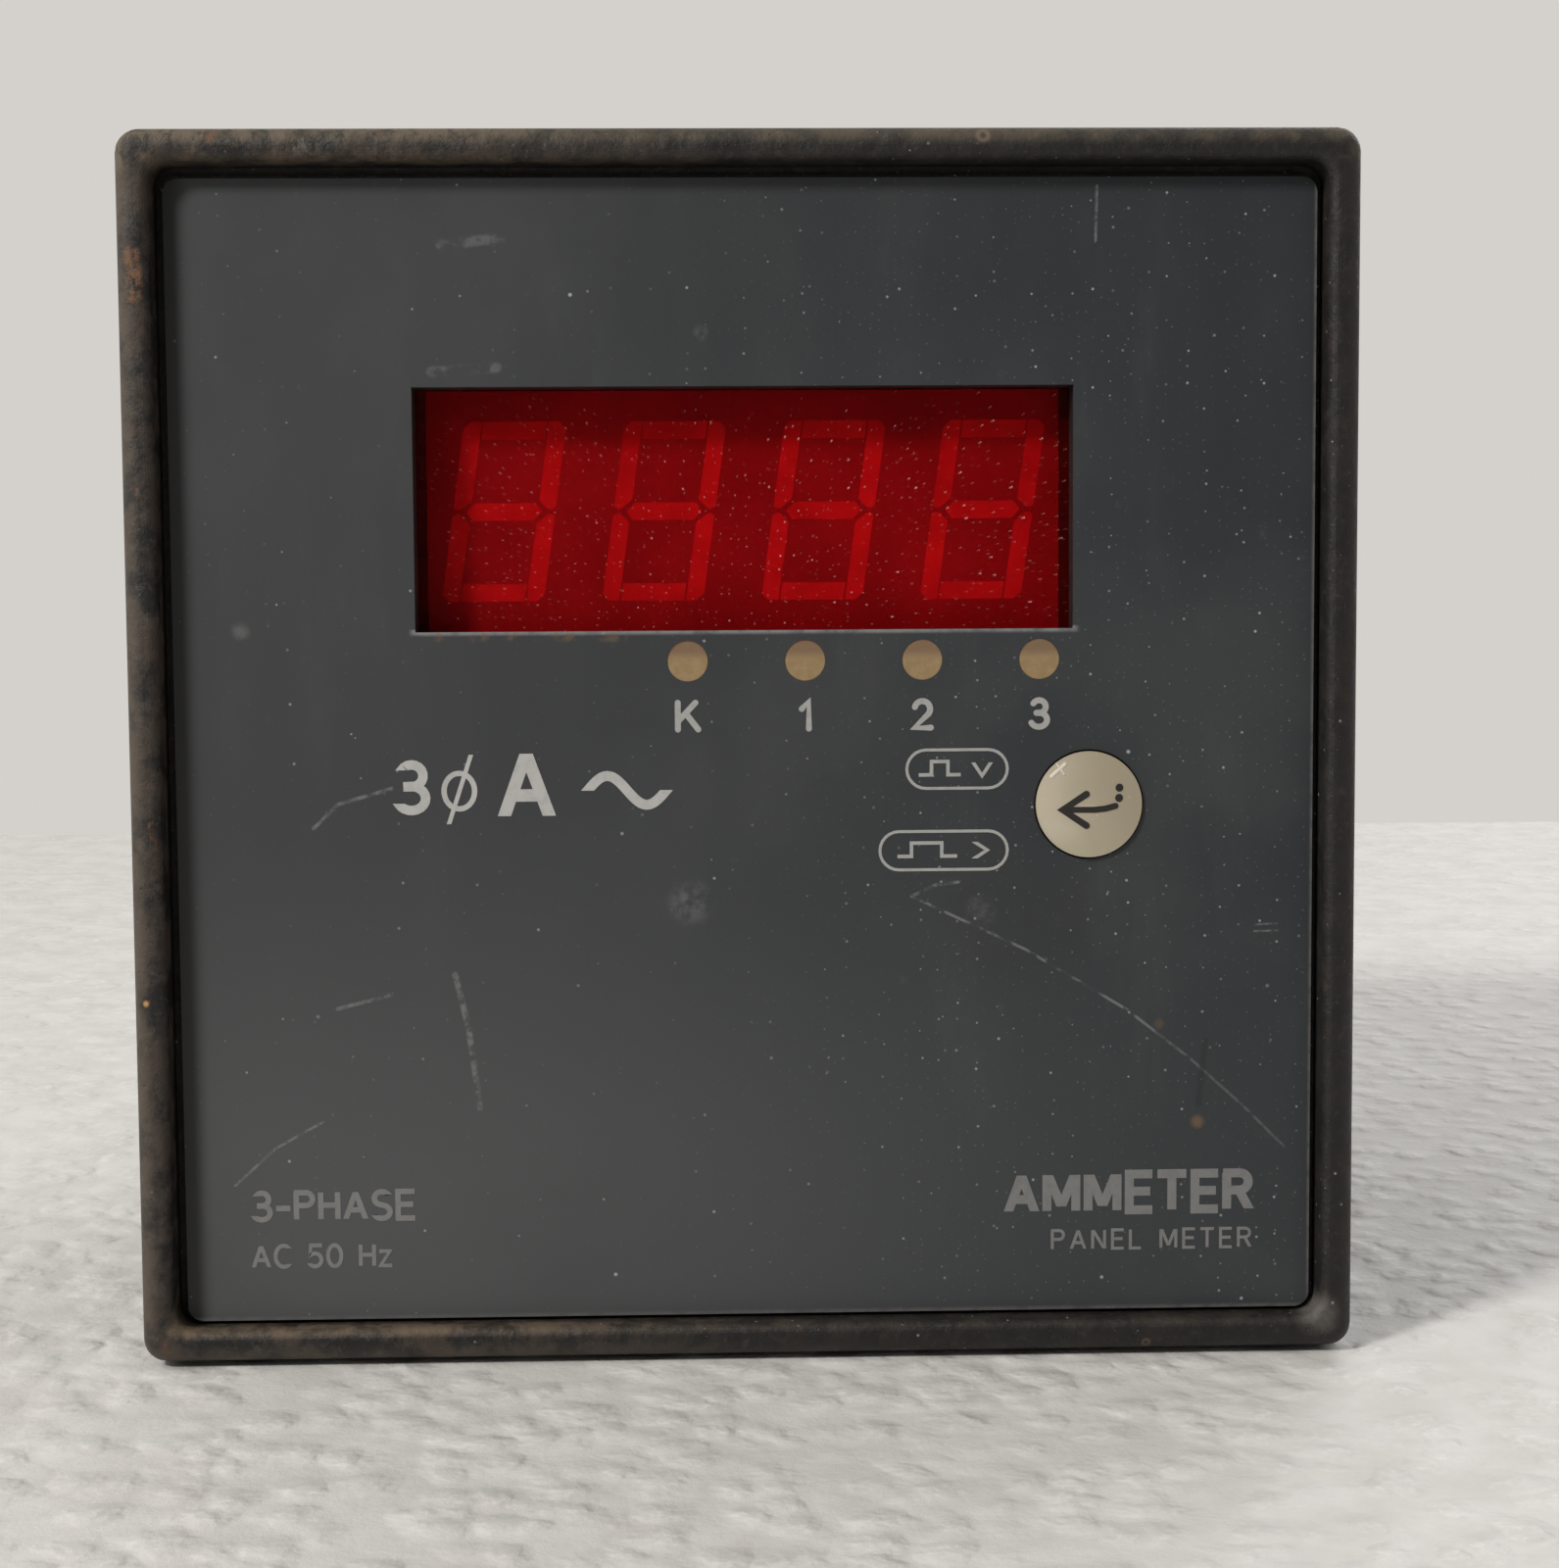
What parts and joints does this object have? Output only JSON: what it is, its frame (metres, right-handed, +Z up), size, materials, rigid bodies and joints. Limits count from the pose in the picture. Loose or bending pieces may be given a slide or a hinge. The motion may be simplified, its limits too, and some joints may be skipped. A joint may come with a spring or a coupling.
{
  "type": "panel ammeter",
  "caption": "Square flush-mounting digital panel ammeter with a red four-digit LED window, indicator dots, one push key, rear screw terminals and two swing-out clamps.",
  "frame": {"origin": "centre of the rear rim of the bezel, in the plane that seats on the panel", "axes": "+Y out of the rear, through the panel; +Z up; +X to the right seen from the front; the display faces -Y"},
  "size_m": [0.096, 0.0662, 0.096],
  "materials": {
    "bezel_plastic": "moulded black ABS, fine grain, worn",
    "overlay_film": "satin dark grey printed film",
    "dot_window": "translucent aged tan",
    "red_filter": "clear red acrylic",
    "display_face": "red-tinted display face",
    "segment_epoxy": "red diffused epoxy, unlit",
    "led_lens": "red diffused LED lens",
    "key_plastic": "cream moulded plastic, aged",
    "black_plastic": "black moulding compound",
    "ivory_plastic": "ivory nylon",
    "circuit_board": "green solder mask",
    "cable_grey": "grey flat cable",
    "coil_blue": "blue epoxy and tape",
    "coil_tape": "yellow polyester tape",
    "capacitor_sleeve": "dark shrink sleeve",
    "housing_plastic": "moulded black ABS",
    "terminal_plastic": "black polyamide",
    "label_film": "satin silver-white label",
    "tinned_steel": "tinned",
    "zinc_steel": "zinc plated",
    "black_steel": "phosphated spring steel",
    "clamp_metal": "zinc die casting",
    "core_steel": "silicon steel laminations",
    "aluminium": "extruded",
    "brass": "dull brass",
    "copper": "bare copper",
    "clear_glass": "clear tube"
  },
  "bodies": {
    "meter": {"front_bezel": "bezel_plastic", "front_overlay": "overlay_film", "led_windows": "dot_window", "display_filter": "red_filter", "display_housing": "display_face", "display_segments": "segment_epoxy", "status_leds": "led_lens", "switch_body": "black_plastic", "switch_dome": "tinned_steel", "switch_cover": "tinned_steel", "display_board": "circuit_board", "display_board_screws": "zinc_steel", "microcontroller": "black_plastic", "driver_chips": "black_plastic", "crystal": "tinned_steel", "board_connectors": "ivory_plastic", "ribbon_cable": "cable_grey", "main_board": "circuit_board", "main_board_screws": "zinc_steel", "current_transformers": "coil_blue", "terminal_links": "copper", "transformer_core": "core_steel", "transformer_bobbin": "ivory_plastic", "transformer_winding": "coil_tape", "smoothing_capacitors": "capacitor_sleeve", "film_capacitor": "coil_tape", "varistor": "coil_blue", "rectifier_bridge": "black_plastic", "voltage_regulator": "black_plastic", "heat_sink": "aluminium", "fuse_glass": "clear_glass", "fuse_caps": "tinned_steel", "fuse_clips": "brass", "rear_housing": "housing_plastic", "terminal_block_upper": "terminal_plastic", "terminal_block_lower": "terminal_plastic", "terminal_plates": "brass", "terminal_washers": "zinc_steel", "terminal_screws": "zinc_steel", "rear_label": "label_film", "clamp_nuts": "brass"},
    "key": {"key_cap": "key_plastic", "switch_plunger": "black_plastic"},
    "upper_carriage": {"clamp_washer_upper": "zinc_steel"},
    "upper_screw": {"clamp_screw_upper": "zinc_steel", "clamp_clip_upper": "black_steel"},
    "upper_arm": {"clamp_arm_upper": "clamp_metal"},
    "lower_carriage": {"clamp_washer_lower": "zinc_steel"},
    "lower_screw": {"clamp_screw_lower": "zinc_steel", "clamp_clip_lower": "black_steel"},
    "lower_arm": {"clamp_arm_lower": "clamp_metal"}
  },
  "joints": [
    {"name": "key_press", "type": "slide", "parent": "meter", "child": "key", "axis": [0, 1, 0], "range_m": [0, 0.0004], "stiffness_N_per_m": 4000, "springref_m": -0.0001},
    {"name": "upper_clamp_travel", "type": "slide", "parent": "meter", "child": "upper_carriage", "axis": [0, -1, 0], "range_m": [0, 0.0154]},
    {"name": "upper_screw_turn", "type": "hinge", "parent": "upper_carriage", "child": "upper_screw", "pos_m": [0.04, 0, 0.04], "axis": [0, -1, 0], "range_deg": [0, 7925]},
    {"name": "upper_arm_swing", "type": "hinge", "parent": "upper_carriage", "child": "upper_arm", "pos_m": [0.04, 0, 0.04], "axis": [0, -1, 0], "range_deg": [0, 90]},
    {"name": "lower_clamp_travel", "type": "slide", "parent": "meter", "child": "lower_carriage", "axis": [0, -1, 0], "range_m": [0, 0.0154]},
    {"name": "lower_screw_turn", "type": "hinge", "parent": "lower_carriage", "child": "lower_screw", "pos_m": [-0.04, 0, -0.04], "axis": [0, -1, 0], "range_deg": [0, 7925]},
    {"name": "lower_arm_swing", "type": "hinge", "parent": "lower_carriage", "child": "lower_arm", "pos_m": [-0.04, 0, -0.04], "axis": [0, -1, 0], "range_deg": [0, 90]}
  ],
  "couplings": [
    {"joint": "upper_screw_turn", "follows": "upper_clamp_travel", "rad_per_m": 8976},
    {"joint": "lower_screw_turn", "follows": "lower_clamp_travel", "rad_per_m": 8976}
  ]
}
